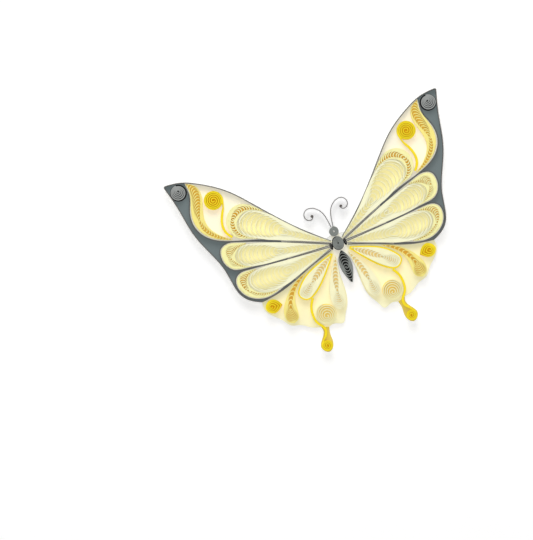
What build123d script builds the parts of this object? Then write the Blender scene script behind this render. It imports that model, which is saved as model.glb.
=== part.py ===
from build123d import *
import os
from math import cos, pi, radians, sin, tan

# Quilled paper butterfly, lying flat on its foam pads.
# Millimetres. X runs across the wings, Y towards the head and Z up, away from the surface it rests on.
# The origin is on that surface, under the middle of the thorax.
# Paper strips stand on edge on one cut card. A strip follows a path, and a coil's path winds inwards.

# Paper and foam
PAD_THICKNESS = 2.0
PAD_SIDE = 6.0
CARD_THICKNESS = 0.3
STRIP_HEIGHT = 3.0
STRIP_THICKNESS = 0.16
GLUE_GAP = 0.12
CRESCENT_GAP = 0.3
CARD_MARGIN = 0.1
# A wrap's two ends lie this far apart, and a pinched coil's straight tip ends where the coil is this wide
WRAP_END_GAP = 0.4
TIP_WIDTH = 1.6
# The share of a cell's outline, on each side of its tip, that gives the angle of the tip
TIP_SHARE = 0.1
# The eye of a pinched coil lies midway between the points of its flanks at this share of the outline
TEARDROP_EYE_SHARE = 0.245
HIND_EYE_SHARE = 0.36
CORNER_EYE_SHARE = 0.28

# Body
THORAX_WIDTH = 3.8
THORAX_LENGTH = 4.5
HEAD_DIAMETER = 3.3
ABDOMEN_WIDTH = 4.2
ABDOMEN_LENGTH = 11.4
ANTENNA_SPREAD = 0.7
WING_CLEARANCE = 0.3
TONGUE_INSET = 1.1
TONGUE_SETBACK = 3.0

# The tip coil lies beside the top of the first vein, and the wing tip keeps its shape round the coil.
# All wing points are on the right wing, with X counted outwards from the wing root.
VEIN_TOP = (38.3, 34.0)
TIP_COIL_DIAMETER = 5.1
TIP_COIL_CLEARANCE = 0.25
TIP_COIL_DROP = 0.8
TIP_COIL_RISE = 0.6
TIP_COIL_CENTRE = (VEIN_TOP[0] + TIP_COIL_CLEARANCE + TIP_COIL_DIAMETER / 2, VEIN_TOP[1] - TIP_COIL_DROP)


def by_tip_coil(across, up):
    """A wing point given in coil diameters from the middle of the tip coil."""
    return (TIP_COIL_CENTRE[0] + across * TIP_COIL_DIAMETER, TIP_COIL_CENTRE[1] + up * TIP_COIL_DIAMETER)


# Wing outline
LEADING_EDGE = [(-1.6, 0.7), (7.6, 8.8), (19.6, 21.9), (26.6, 29.1), (33.6, 33.7),
                by_tip_coil(-0.294, 0.608), by_tip_coil(0.647, 0.725)]
WING_TIP = [by_tip_coil(0.647, 0.725), by_tip_coil(0.765, 0.667), by_tip_coil(0.765, 0.529)]
OUTER_EDGE = [by_tip_coil(0.765, 0.529), by_tip_coil(0.451, -0.627), (42.4, 24.7), (41.0, 18.2), (37.8, 10.4),
              (35.7, 5.0), (34.6, -0.8), (33.2, -5.5), (31.3, -7.7), (27.6, -9.8)]
WING_BOUNDARY = [(27.6, -9.8), (21.6, -8.9), (9.6, -4.75), (0.0, -1.45)]
HIND_EDGE = [(27.6, -9.8), (27.7, -12.2), (25.8, -15.2), (23.1, -17.8), (21.4, -20.0), (18.1, -21.2),
             (15.1, -23.1), (12.2, -24.0)]
TAIL_EDGE = [(12.2, -24.0), (11.9, -25.0), (13.3, -27.9), (14.4, -30.4), (12.3, -32.5), (10.2, -30.4),
             (10.1, -27.0), (9.6, -24.8)]
INNER_EDGE = [(9.6, -24.8), (7.6, -24.4), (4.8, -25.2), (3.3, -23.0), (1.7, -20.3), (0.6, -16.5),
              (0.4, -11.0), (-0.2, -6.0), (-1.6, -3.0)]
FOREWING_PAD = (20.0, 9.0)
HINDWING_PAD = (10.0, -12.0)

# Forewing pieces. A cell is the outline of what lies in it, from its pinched tip clockwise round the lobe.
# Horns are lengths along a cell's flanks from its tip. The round coil is set
# from where the tail starts, and a scroll's coil from the end of its loose strip.
UPPER_VEIN = [(0.3, 0.95), (9.6, 4.9), (21.6, 9.75), (31.5, 12.8), (37.3, 16.1), (40.1, 20.9), (39.6, 27.0),
              (38.2, 31.0), VEIN_TOP]
COSTAL_UPPER_FLANK = [(0.5, 1.75), (7.7, 7.95), (14.7, 15.45)]
COSTAL_LOBE = [(19.6, 20.8), (23.0, 22.8), (26.4, 22.6), (29.2, 20.0), (29.8, 16.5), (28.0, 12.9),
               (24.0, 11.2)]
COSTAL_TEARDROP_LOBE = [(18.8, 18.7), (22.6, 19.7), (25.2, 18.5), (26.5, 16.0), (25.4, 13.2), (22.8, 11.3)]
COSTAL_LOWER_FLANK = [(19.6, 9.5), (9.6, 5.4), (0.5, 1.75)]
COSTAL_HORNS = (23.5, 23.0)
MIDDLE_UPPER_FLANK = [(0.3, 0.35), (9.6, 4.3), (18.0, 7.7)]
MIDDLE_LOBE = [(24.0, 10.0), (28.0, 11.35), (31.6, 12.2), (34.2, 11.3), (35.1, 8.5), (34.4, 5.4), (32.4, 3.3),
               (29.4, 2.6)]
MIDDLE_TEARDROP_LOBE = [(23.2, 9.3), (26.8, 9.9), (29.5, 8.8), (30.7, 6.9), (29.9, 4.7), (27.9, 3.0)]
MIDDLE_LOWER_FLANK = [(25.2, 2.1), (17.6, 1.25), (9.0, 0.75), (0.3, 0.35)]
MIDDLE_HORNS = (27.5, 26.5)
LOWER_UPPER_FLANK = [(0.3, -0.6), (9.0, 0.05), (17.6, 0.75)]
LOWER_LOBE = [(23.6, 1.35), (28.0, 1.75), (31.2, 1.6), (32.8, 0.5), (33.4, -2.4), (32.2, -5.4), (29.6, -7.7),
              (25.9, -8.8), (22.0, -8.35)]
LOWER_TEARDROP_LOBE = [(23.4, 1.05), (26.6, 0.7), (28.8, -0.5), (29.6, -2.3), (28.8, -4.8), (26.3, -6.7),
                       (22.2, -7.5)]
LOWER_LOWER_FLANK = [(18.6, -7.2), (9.6, -4.15), (0.3, -0.6)]
LOWER_HORNS = (25.5, 22.0)
LONG_LEAF_OUTER = [(37.9, 35.2), (37.5, 32.4), (38.0, 29.9), (39.1, 26.5), (39.6, 23.0), (39.0, 20.0),
                   (36.6, 16.5), (32.6, 13.9), (29.4, 12.7)]
LONG_LEAF_INNER = [(37.9, 35.2), (35.3, 33.6), (34.3, 31.0), (34.9, 27.0), (35.9, 23.6), (35.9, 20.0),
                   (33.7, 16.2), (31.4, 14.1), (29.4, 12.7)]
SCROLL_OFFSET = (2.3, 3.3)
SCROLL_DIAMETER = 6.3
SCROLL_START = 200
SCROLL_TAIL = [(29.4, 13.6), (30.6, 15.2), (31.2, 17.6), (30.3, 21.2), (28.9, 23.7)]

# Hindwing pieces
HIND_CELL = [(0.2, -2.3), (5.6, -4.0), (10.6, -6.2), (14.3, -9.4), (15.4, -11.8), (13.2, -14.0),
             (10.3, -13.1), (4.1, -7.2), (0.2, -2.3)]
HIND_INNER_CELL = [(-0.4, -3.2), (3.6, -9.3), (5.5, -13.5), (6.1, -17.0), (5.3, -19.8), (3.7, -20.7),
                   (2.1, -19.7), (0.9, -16.5), (0.6, -11.0), (0.1, -6.5), (-0.4, -3.2)]
OUTER_LEAF_OUTER = [(10.6, -5.45), (14.6, -7.0), (17.6, -9.1), (20.2, -12.0), (22.0, -15.6), (21.7, -18.6),
                    (19.9, -19.8)]
OUTER_LEAF_INNER = [(10.6, -5.45), (15.2, -9.2), (17.0, -12.3), (17.5, -16.0), (18.1, -18.8), (19.9, -19.8)]
CORNER_CELL = [(21.5, -12.8), (22.9, -10.7), (24.9, -9.95), (27.2, -12.3), (24.9, -14.65), (22.9, -14.0),
               (21.5, -12.8)]
ROUND_COIL_OFFSET = (-0.5, 4.3)
ROUND_COIL_DIAMETER = 6.8
ROUND_COIL_DROP = 0.8
TAIL_STRIP = [(11.5, -14.2), (12.9, -16.6), (13.35, -19.4), (12.6, -22.6), (11.2, -24.6), (11.3, -26.4),
              (12.6, -28.0)]
TAIL_COIL_OFFSET = (-0.3, -2.35)
TAIL_COIL_DIAMETER = 3.7
TAIL_COIL_START = 55

# Right antenna, counted from where it leaves the head
ANTENNA_STEM = [(0.0, 0.0), (0.5, 3.4), (1.65, 6.25), (3.4, 7.8)]
ANTENNA_CURL_CENTRE = (5.0, 6.0)
ANTENNA_CURL_DIAMETER = 4.5
ANTENNA_CURL_START = 115

# Turns of the rolled strips, and how many straight steps a turn or a strip has
TEARDROP_TURNS = 4
TEARDROP_STEPS = 10
CRESCENT_TURNS = 2
CRESCENT_SIDE_STEPS = 8
LONG_LEAF_TURNS = 3
LONG_LEAF_SIDE_STEPS = 8
HIND_TURNS = 3
HIND_STEPS = 10
OUTER_LEAF_TURNS = 2
OUTER_LEAF_SIDE_STEPS = 7
TIP_COIL_TURNS = 3
ROUND_COIL_TURNS = 4
SCROLL_TURNS = 3
BODY_TURNS = 3
ABDOMEN_SIDE_STEPS = 6
ANTENNA_TURNS = 1.2
ANTENNA_STEPS = 6
ROUND_STEPS = 10
WRAP_STEPS = 16
VEIN_STEPS = 13
LEADING_STEPS = 10
TIP_STEPS = 4
OUTER_STEPS = 17
BOUNDARY_STEPS = 5
HIND_EDGE_STEPS = 13
TAIL_EDGE_STEPS = 17
INNER_STEPS = 14
SCROLL_TAIL_STEPS = 6
TAIL_STRIP_STEPS = 8
SIDE_SAMPLE_STEPS = 25

# A rolled strip is tight outside and loose inside: the share of its size that its core keeps, and how late
# it shrinks
CORE = 0.14
LOOSENING = 1.6
# Steps are shorter where a curve bends: a bend of one radian counts as this share of the curve's length
BEND_WEIGHT = 0.5
FINE_STEPS = 161

CARD_TOP = PAD_THICKNESS + CARD_THICKNESS
WING_ROOT = max(THORAX_WIDTH, ABDOMEN_WIDTH) / 2 + WING_CLEARANCE
HEAD_Y = THORAX_LENGTH / 2 + GLUE_GAP + HEAD_DIAMETER / 2
ABDOMEN_TOP = -THORAX_LENGTH / 2 - GLUE_GAP - STRIP_THICKNESS
HALF_STRIP = STRIP_THICKNESS / 2
INSIDE_WRAP = STRIP_THICKNESS + GLUE_GAP + HALF_STRIP


def spaced(first, last, count):
    """Even values from first to last, both included."""
    return [first + (last - first) * step / (count - 1) for step in range(count)]


def bend_shares(curve, first, last, count):
    """Shares of a curve from first to last, in even steps of its length and its bend together."""
    shares = spaced(first, last, FINE_STEPS)
    progress = [0]
    for before, after in zip(shares, shares[1:]):
        bend = radians((curve % before).get_angle(curve % after))
        progress.append(progress[-1] + (after - before) + BEND_WEIGHT * bend)
    nearest = []
    for target in spaced(0, progress[-1], count):
        nearest.append(min(zip(progress, shares), key=lambda pair: abs(pair[0] - target))[1])
    return nearest


def wing_point(place):
    """A point of the right wing."""
    return Vector(place[0] + WING_ROOT, place[1])


def smooth(places):
    """One smooth curve through points of the right wing."""
    return Spline([wing_point(place) for place in places])


def along(places, count):
    """The smooth curve through points of the right wing, in straight steps."""
    curve = smooth(places)
    return [curve @ share for share in bend_shares(curve, 0, 1, count)]


def inside(curve, share, distance):
    """A point at a distance inside a clockwise curve."""
    tangent = curve % share
    return curve @ share + Vector(tangent.Y, -tangent.X) * distance


def inset(curve, distance, first_width, count):
    """A cell's outline moved inwards: its tip, then points round the lobe from where it is this wide."""
    out = (curve @ TIP_SHARE - curve @ 0).normalized()
    back = (curve @ (1 - TIP_SHARE) - curve @ 0).normalized()
    half_angle = radians(out.get_angle(back)) / 2
    tip = curve @ 0 + (out + back).normalized() * (distance / sin(half_angle))
    reach = (distance + first_width / 2) / tan(half_angle) / curve.length
    return [tip] + [inside(curve, share, distance) for share in bend_shares(curve, reach, 1 - reach, count)]


def eye(curve, share):
    """The middle of a pinched coil, midway between its two flanks."""
    return (curve @ share + curve @ (1 - share)) / 2


def shrinks(steps):
    """How far each step of a rolled strip has shrunk towards its core, slowly at first."""
    return [1 - (1 - CORE) * (step / steps) ** LOOSENING for step in range(steps + 1)]


def wind(outline, centre, turns):
    """A closed outline rolled up towards a centre, so that each turn lies inside the last one."""
    steps = turns * len(outline)
    rolled = [outline[step % len(outline)] for step in range(steps + 1)]
    return [centre + (point - centre) * shrink for point, shrink in zip(rolled, shrinks(steps))]


def between(points, share):
    """The point at a share of the way through a list of points."""
    place = share * (len(points) - 1)
    index = min(int(place), len(points) - 2)
    return points[index] + (points[index + 1] - points[index]) * (place - index)


def leaf(side, other_side, turns, side_steps):
    """A coil pinched at both ends: out by one side at full size, then back and forth in smaller turns."""
    shares = spaced(0, 1, side_steps + 1) + spaced(1, 0, side_steps + 1)[1:-1]
    leans = [0] + [1] * (side_steps - 1) + [0] + [-1] * (side_steps - 1)
    steps = turns * len(shares)
    sizes = [1] * side_steps + spaced(1, CORE, steps - side_steps + 1)
    path = []
    for step, size in enumerate(sizes):
        share = 0.5 + (shares[step % len(shares)] - 0.5) * size
        near, far = between(side, share), between(other_side, share)
        path.append((near + far) / 2 + (near - far) / 2 * leans[step % len(leans)] * size)
    return path


def oval(centre, width, length):
    """Points of an oval strip of this outer size, clockwise from its top."""
    across, along_y = width / 2 - HALF_STRIP, length / 2 - HALF_STRIP
    angles = [2 * pi * step / ROUND_STEPS for step in range(ROUND_STEPS)]
    return [centre + Vector(sin(angle) * across, cos(angle) * along_y) for angle in angles]


def curl(centre, diameter, start, turns):
    """A clockwise coil of this outer diameter, from its outside at the start angle in to its core."""
    steps = round(turns * ROUND_STEPS)
    path = []
    for step, shrink in enumerate(spaced(1, CORE, steps + 1)):
        angle = radians(start) - 2 * pi * step / ROUND_STEPS
        path.append(centre + Vector(cos(angle), sin(angle)) * (diameter / 2 - HALF_STRIP) * shrink)
    return path


def strip(path):
    """A paper strip on edge on the card along a path, mitred where the path bends."""
    runs = [(after - before).normalized() for before, after in zip(path, path[1:])]
    left, right = [], []
    for point, before, after in zip(path, runs[:1] + runs, runs + runs[-1:]):
        normal = Vector(-before.Y - after.Y, before.X + after.X)
        mitre = normal.normalized() * min(STRIP_THICKNESS / normal.length, STRIP_THICKNESS)
        left.append(point + mitre)
        right.append(point - mitre)
    section = make_face(Polyline(*left, *reversed(right), close=True))
    return Pos(0, 0, CARD_TOP) * extrude(section, STRIP_HEIGHT)


def wrap(cell):
    """One strip just inside a cell's outline, with both ends at the root."""
    return strip(inset(smooth(cell), HALF_STRIP, WRAP_END_GAP, WRAP_STEPS)[1:])


def pinched_coil(cell, eye_share, edge):
    """A coil pinched at one end that fills a hindwing cell, with its first turn at a distance inside it."""
    curve = smooth(cell)
    return strip(wind(inset(curve, edge, TIP_WIDTH, HIND_STEPS), eye(curve, eye_share), HIND_TURNS))


def teardrop_and_crescent(upper_flank, lobe, teardrop_lobe, lower_flank, horns, edge):
    """The two coils in a forewing cell: a teardrop, and a crescent round its lobe between two horns."""
    cell = smooth(upper_flank + lobe + lower_flank)
    room = smooth(upper_flank + teardrop_lobe + lower_flank)
    sides = []
    for curve, distance in ((cell, edge), (room, edge - STRIP_THICKNESS - CRESCENT_GAP)):
        shares = spaced(horns[0] / curve.length, 1 - horns[1] / curve.length, SIDE_SAMPLE_STEPS)
        sides.append([inside(curve, share, distance) for share in shares])
    outline = inset(room, edge, TIP_WIDTH, TEARDROP_STEPS)
    teardrop = wind(outline, eye(room, TEARDROP_EYE_SHARE), TEARDROP_TURNS)
    return strip(teardrop), strip(leaf(*sides, CRESCENT_TURNS, CRESCENT_SIDE_STEPS))


def forewing_outline():
    """One strip round the forewing, just inside the card's edge."""
    curves = [(LEADING_EDGE, LEADING_STEPS), (OUTER_EDGE, OUTER_STEPS), (WING_BOUNDARY, BOUNDARY_STEPS)]
    path = []
    for places, count in curves:
        curve = smooth(places)
        for share in bend_shares(curve, 0, 1, count)[1:]:
            path.append(inside(curve, share, CARD_MARGIN + HALF_STRIP))
    return strip(path)


def forewing():
    """The strips and coils of the right forewing."""
    tip = wing_point(TIP_COIL_CENTRE)
    tip_outline = oval(tip, TIP_COIL_DIAMETER, TIP_COIL_DIAMETER)
    scroll_centre = wing_point(SCROLL_TAIL[-1]) + Vector(*SCROLL_OFFSET)
    scroll_end = curl(scroll_centre, SCROLL_DIAMETER, SCROLL_START, SCROLL_TURNS)
    leaf_sides = [along(places, SIDE_SAMPLE_STEPS) for places in (LONG_LEAF_OUTER, LONG_LEAF_INNER)]
    pieces = {
        "forewing_outline": forewing_outline(),
        "upper_vein": strip(along(UPPER_VEIN, VEIN_STEPS)),
        "middle_wrap": wrap(MIDDLE_UPPER_FLANK + MIDDLE_LOBE + MIDDLE_LOWER_FLANK),
        "lower_wrap": wrap(LOWER_UPPER_FLANK + LOWER_LOBE + LOWER_LOWER_FLANK),
        "tip_coil": strip(wind(tip_outline, tip + Vector(0, TIP_COIL_RISE), TIP_COIL_TURNS)),
        "long_leaf": strip(leaf(*leaf_sides, LONG_LEAF_TURNS, LONG_LEAF_SIDE_STEPS)),
        "forewing_scroll": strip(along(SCROLL_TAIL, SCROLL_TAIL_STEPS) + scroll_end),
    }
    cells = {
        "costal": (COSTAL_UPPER_FLANK, COSTAL_LOBE, COSTAL_TEARDROP_LOBE, COSTAL_LOWER_FLANK,
                   COSTAL_HORNS, HALF_STRIP),
        "middle": (MIDDLE_UPPER_FLANK, MIDDLE_LOBE, MIDDLE_TEARDROP_LOBE, MIDDLE_LOWER_FLANK,
                   MIDDLE_HORNS, INSIDE_WRAP),
        "lower": (LOWER_UPPER_FLANK, LOWER_LOBE, LOWER_TEARDROP_LOBE, LOWER_LOWER_FLANK,
                  LOWER_HORNS, INSIDE_WRAP),
    }
    for name, cell in cells.items():
        pieces[name + "_teardrop"], pieces[name + "_crescent"] = teardrop_and_crescent(*cell)
    return pieces


def hindwing():
    """The strips and coils of the right hindwing."""
    middle = wing_point(TAIL_EDGE[-1]) + Vector(*ROUND_COIL_OFFSET)
    round_outline = oval(middle, ROUND_COIL_DIAMETER, ROUND_COIL_DIAMETER)
    leaf_sides = [along(places, SIDE_SAMPLE_STEPS) for places in (OUTER_LEAF_OUTER, OUTER_LEAF_INNER)]
    tail_centre = wing_point(TAIL_STRIP[-1]) + Vector(*TAIL_COIL_OFFSET)
    tail_end = curl(tail_centre, TAIL_COIL_DIAMETER, TAIL_COIL_START, SCROLL_TURNS)
    return {
        "hind_wrap": wrap(HIND_CELL),
        "hind_upper_teardrop": pinched_coil(HIND_CELL, HIND_EYE_SHARE, INSIDE_WRAP),
        "hind_inner_teardrop": pinched_coil(HIND_INNER_CELL, HIND_EYE_SHARE, HALF_STRIP),
        "hind_outer_leaf": strip(leaf(*leaf_sides, OUTER_LEAF_TURNS, OUTER_LEAF_SIDE_STEPS)),
        "corner_coil": pinched_coil(CORNER_CELL, CORNER_EYE_SHARE, HALF_STRIP),
        "round_coil": strip(wind(round_outline, middle - Vector(0, ROUND_COIL_DROP), ROUND_COIL_TURNS)),
        "tail_scroll": strip(along(TAIL_STRIP, TAIL_STRIP_STEPS) + tail_end),
    }


def antenna():
    """The right antenna strip, from the head to its curled end."""
    base = Vector(ANTENNA_SPREAD / 2, HEAD_Y + HEAD_DIAMETER / 2)
    stem = Spline([base + Vector(x, y) for x, y in ANTENNA_STEM])
    end = curl(base + Vector(*ANTENNA_CURL_CENTRE), ANTENNA_CURL_DIAMETER, ANTENNA_CURL_START, ANTENNA_TURNS)
    return strip([stem @ share for share in spaced(0, 1, ANTENNA_STEPS)] + end)


def body():
    """The head, thorax and abdomen coils."""
    head, thorax = Vector(0, HEAD_Y), Vector(0, 0)
    half_width = ABDOMEN_WIDTH / 2 - HALF_STRIP
    shares = spaced(0, 1, SIDE_SAMPLE_STEPS)
    right = [Vector(half_width * sin(pi * share), ABDOMEN_TOP - ABDOMEN_LENGTH * share) for share in shares]
    left = [Vector(-point.X, point.Y) for point in right]
    return {
        "head_coil": strip(wind(oval(head, HEAD_DIAMETER, HEAD_DIAMETER), head, BODY_TURNS)),
        "thorax_coil": strip(wind(oval(thorax, THORAX_WIDTH, THORAX_LENGTH), thorax, BODY_TURNS)),
        "abdomen_coil": strip(leaf(right, left, BODY_TURNS, ABDOMEN_SIDE_STEPS)),
    }


def base_card():
    """The card under all the strips: both wing outlines and the tongue under the body, cut as one piece."""
    edges = [(LEADING_EDGE, LEADING_STEPS), (WING_TIP, TIP_STEPS), (OUTER_EDGE, OUTER_STEPS),
             (HIND_EDGE, HIND_EDGE_STEPS), (TAIL_EDGE, TAIL_EDGE_STEPS), (INNER_EDGE, INNER_STEPS)]
    outline = [wing_point(LEADING_EDGE[0])]
    for places, count in edges:
        outline += along(places, count)[1:]
    wing = make_face(Polyline(*outline, close=True))
    tongue_end = ABDOMEN_TOP - ABDOMEN_LENGTH + TONGUE_SETBACK
    tongue_width = 2 * (WING_ROOT - TONGUE_INSET)
    tongue = Pos(0, (HEAD_Y + tongue_end) / 2) * Rectangle(tongue_width, HEAD_Y - tongue_end)
    return Pos(0, 0, PAD_THICKNESS) * extrude(wing + mirror(wing, Plane.YZ) + tongue, CARD_THICKNESS)


def pad(centre):
    """A square of foam between the card and the surface."""
    return Pos(centre.X, centre.Y, PAD_THICKNESS / 2) * Box(PAD_SIDE, PAD_SIDE, PAD_THICKNESS)


right_side = forewing() | hindwing()
right_side["antenna"] = antenna()
right_side["forewing_pad"] = pad(wing_point(FOREWING_PAD))
right_side["hindwing_pad"] = pad(wing_point(HINDWING_PAD))

pieces = body() | {"base_card": base_card(), "thorax_pad": pad(Vector(0, 0))}
for name, piece in right_side.items():
    pieces["right_" + name] = piece
    pieces["left_" + name] = mirror(piece, Plane.YZ)

os.makedirs("parts", exist_ok=True)
for name, piece in pieces.items():
    export_step(piece, f"parts/{name}.step")
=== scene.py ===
from math import pi, radians, sin, tan

import bpy
import numpy as np
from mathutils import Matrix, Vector
from mathutils.geometry import tessellate_polygon


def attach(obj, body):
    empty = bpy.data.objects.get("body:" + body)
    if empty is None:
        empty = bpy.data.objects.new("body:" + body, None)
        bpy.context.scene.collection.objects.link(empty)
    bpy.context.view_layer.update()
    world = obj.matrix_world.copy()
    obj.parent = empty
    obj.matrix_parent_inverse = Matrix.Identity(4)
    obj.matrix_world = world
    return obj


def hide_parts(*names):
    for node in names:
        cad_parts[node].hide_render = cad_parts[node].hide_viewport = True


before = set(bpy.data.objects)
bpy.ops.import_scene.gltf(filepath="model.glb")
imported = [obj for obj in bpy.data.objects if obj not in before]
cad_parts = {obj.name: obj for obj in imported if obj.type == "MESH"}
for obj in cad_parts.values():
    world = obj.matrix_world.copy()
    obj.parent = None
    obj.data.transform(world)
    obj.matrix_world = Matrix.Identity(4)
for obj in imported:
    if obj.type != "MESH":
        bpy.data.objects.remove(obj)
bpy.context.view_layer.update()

# All lengths below are in millimetres, and each mesh is scaled to metres as it is made
METRE = 0.001
SEED = 7

PAD_THICKNESS = 2.0
PAD_SIDE = 6.0
CARD_THICKNESS = 0.3
STRIP_HEIGHT = 3.0
STRIP_THICKNESS = 0.15
CAD_STRIP_THICKNESS = 0.16
GLUE_GAP = 0.12
CRESCENT_GAP = 0.3
CARD_MARGIN = 0.1
WRAP_END_GAP = 0.4
TIP_WIDTH = 0.35
TIP_SHARE = 0.1
THORAX_WIDTH = 3.8
THORAX_LENGTH = 4.5
HEAD_DIAMETER = 3.3
ABDOMEN_WIDTH = 4.2
ABDOMEN_LENGTH = 11.4
ANTENNA_SPREAD = 0.7
WING_CLEARANCE = 0.3
TONGUE_INSET = 1.1
TONGUE_SETBACK = 3.0

CARD_TOP = PAD_THICKNESS + CARD_THICKNESS
STRIP_TOP = CARD_TOP + STRIP_HEIGHT
WING_ROOT = max(THORAX_WIDTH, ABDOMEN_WIDTH) / 2 + WING_CLEARANCE
HEAD_Y = THORAX_LENGTH / 2 + GLUE_GAP + HEAD_DIAMETER / 2
ABDOMEN_TOP = -THORAX_LENGTH / 2 - GLUE_GAP - CAD_STRIP_THICKNESS
HALF_STRIP = CAD_STRIP_THICKNESS / 2
INSIDE_WRAP = CAD_STRIP_THICKNESS + GLUE_GAP + HALF_STRIP

# The tip coil beside the top of the first vein, and the wing tip round it
VEIN_TOP = (38.3, 34.0)
TIP_COIL_DIAMETER = 5.1
TIP_COIL_CLEARANCE = 0.25
TIP_COIL_DROP = 0.8
TIP_COIL_RISE = 0.6
TIP_COIL_CENTRE = (VEIN_TOP[0] + TIP_COIL_CLEARANCE + TIP_COIL_DIAMETER / 2,
                   VEIN_TOP[1] - TIP_COIL_DROP)


def by_tip_coil(across, up):
    """A wing point given in coil diameters from the middle of the tip coil."""
    return (TIP_COIL_CENTRE[0] + across * TIP_COIL_DIAMETER, TIP_COIL_CENTRE[1] + up * TIP_COIL_DIAMETER)


# Outlines on the right wing, measured from its root
LEADING_EDGE = [(-1.6, 0.7), (7.6, 8.8), (19.6, 21.9), (26.6, 29.1), (33.6, 33.7),
                by_tip_coil(-0.294, 0.608), by_tip_coil(0.647, 0.725)]
WING_TIP = [by_tip_coil(0.647, 0.725), by_tip_coil(0.765, 0.667), by_tip_coil(0.765, 0.529)]
OUTER_EDGE = [by_tip_coil(0.765, 0.529), by_tip_coil(0.451, -0.627), (42.4, 24.7), (41.0, 18.2),
              (37.8, 10.4), (35.7, 5.0), (34.6, -0.8), (33.2, -5.5), (31.3, -7.7), (27.6, -9.8)]
WING_BOUNDARY = [(27.6, -9.8), (21.6, -8.9), (9.6, -4.75), (0.0, -1.45)]
HIND_EDGE = [(27.6, -9.8), (27.7, -12.2), (25.8, -15.2), (23.1, -17.8), (21.4, -20.0), (18.1, -21.2),
             (15.1, -23.1), (12.2, -24.0)]
TAIL_EDGE = [(12.2, -24.0), (11.9, -25.0), (13.3, -27.9), (14.4, -30.4), (12.3, -32.5), (10.2, -30.4),
             (10.1, -27.0), (9.6, -24.8)]
INNER_EDGE = [(9.6, -24.8), (7.6, -24.4), (4.8, -25.2), (3.3, -23.0), (1.7, -20.3), (0.6, -16.5),
              (0.4, -11.0), (-0.2, -6.0), (-1.6, -3.0)]
FOREWING_PAD = (20.0, 9.0)
HINDWING_PAD = (10.0, -12.0)

UPPER_VEIN = [(0.3, 0.95), (9.6, 4.9), (21.6, 9.75), (31.5, 12.8), (37.3, 16.1), (40.1, 20.9),
              (39.6, 27.0), (38.2, 31.0), VEIN_TOP]
COSTAL_UPPER_FLANK = [(0.5, 1.75), (7.7, 7.95), (14.7, 15.45)]
COSTAL_LOBE = [(19.6, 20.8), (23.0, 22.8), (26.4, 22.6), (29.2, 20.0), (29.8, 16.5), (28.0, 12.9),
               (24.0, 11.2)]
COSTAL_TEARDROP_LOBE = [(18.8, 18.7), (22.6, 19.7), (25.2, 18.5), (26.5, 16.0), (25.4, 13.2), (22.8, 11.3)]
COSTAL_LOWER_FLANK = [(19.6, 9.5), (9.6, 5.4), (0.5, 1.75)]
COSTAL_HORNS = (23.5, 23.0)
MIDDLE_UPPER_FLANK = [(0.3, 0.35), (9.6, 4.3), (18.0, 7.7)]
MIDDLE_LOBE = [(24.0, 10.0), (28.0, 11.35), (31.6, 12.2), (34.2, 11.3), (35.1, 8.5), (34.4, 5.4),
               (32.4, 3.3), (29.4, 2.6)]
MIDDLE_TEARDROP_LOBE = [(23.2, 9.3), (26.8, 9.9), (29.5, 8.8), (30.7, 6.9), (29.9, 4.7), (27.9, 3.0)]
MIDDLE_LOWER_FLANK = [(25.2, 2.1), (17.6, 1.25), (9.0, 0.75), (0.3, 0.35)]
MIDDLE_HORNS = (27.5, 26.5)
LOWER_UPPER_FLANK = [(0.3, -0.6), (9.0, 0.05), (17.6, 0.75)]
LOWER_LOBE = [(23.6, 1.35), (28.0, 1.75), (31.2, 1.6), (32.8, 0.5), (33.4, -2.4), (32.2, -5.4),
              (29.6, -7.7), (25.9, -8.8), (22.0, -8.35)]
LOWER_TEARDROP_LOBE = [(23.4, 1.05), (26.6, 0.7), (28.8, -0.5), (29.6, -2.3), (28.8, -4.8), (26.3, -6.7),
                       (22.2, -7.5)]
LOWER_LOWER_FLANK = [(18.6, -7.2), (9.6, -4.15), (0.3, -0.6)]
LOWER_HORNS = (25.5, 22.0)
LONG_LEAF_OUTER = [(37.9, 35.2), (37.5, 32.4), (38.0, 29.9), (39.1, 26.5), (39.6, 23.0), (39.0, 20.0),
                   (36.6, 16.5), (32.6, 13.9), (29.4, 12.7)]
LONG_LEAF_INNER = [(37.9, 35.2), (35.3, 33.6), (34.3, 31.0), (34.9, 27.0), (35.9, 23.6), (35.9, 20.0),
                   (33.7, 16.2), (31.4, 14.1), (29.4, 12.7)]
SCROLL_OFFSET = (2.3, 3.3)
SCROLL_DIAMETER = 6.3
SCROLL_START = 200
SCROLL_TAIL = [(29.4, 13.6), (30.6, 15.2), (31.2, 17.6), (30.3, 21.2), (28.9, 23.7)]
HIND_CELL = [(0.2, -2.3), (5.6, -4.0), (10.6, -6.2), (14.3, -9.4), (15.4, -11.8), (13.2, -14.0),
             (10.3, -13.1), (4.1, -7.2), (0.2, -2.3)]
HIND_INNER_CELL = [(-0.4, -3.2), (3.6, -9.3), (5.5, -13.5), (6.1, -17.0), (5.3, -19.8), (3.7, -20.7),
                   (2.1, -19.7), (0.9, -16.5), (0.6, -11.0), (0.1, -6.5), (-0.4, -3.2)]
OUTER_LEAF_OUTER = [(10.6, -5.45), (14.6, -7.0), (17.6, -9.1), (20.2, -12.0), (22.0, -15.6), (21.7, -18.6),
                    (19.9, -19.8)]
OUTER_LEAF_INNER = [(10.6, -5.45), (15.2, -9.2), (17.0, -12.3), (17.5, -16.0), (18.1, -18.8), (19.9, -19.8)]
CORNER_CELL = [(21.5, -12.8), (22.9, -10.7), (24.9, -9.95), (27.2, -12.3), (24.9, -14.65), (22.9, -14.0),
               (21.5, -12.8)]
ROUND_COIL_OFFSET = (-0.5, 4.3)
ROUND_COIL_DIAMETER = 6.8
ROUND_COIL_DROP = 0.8
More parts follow.
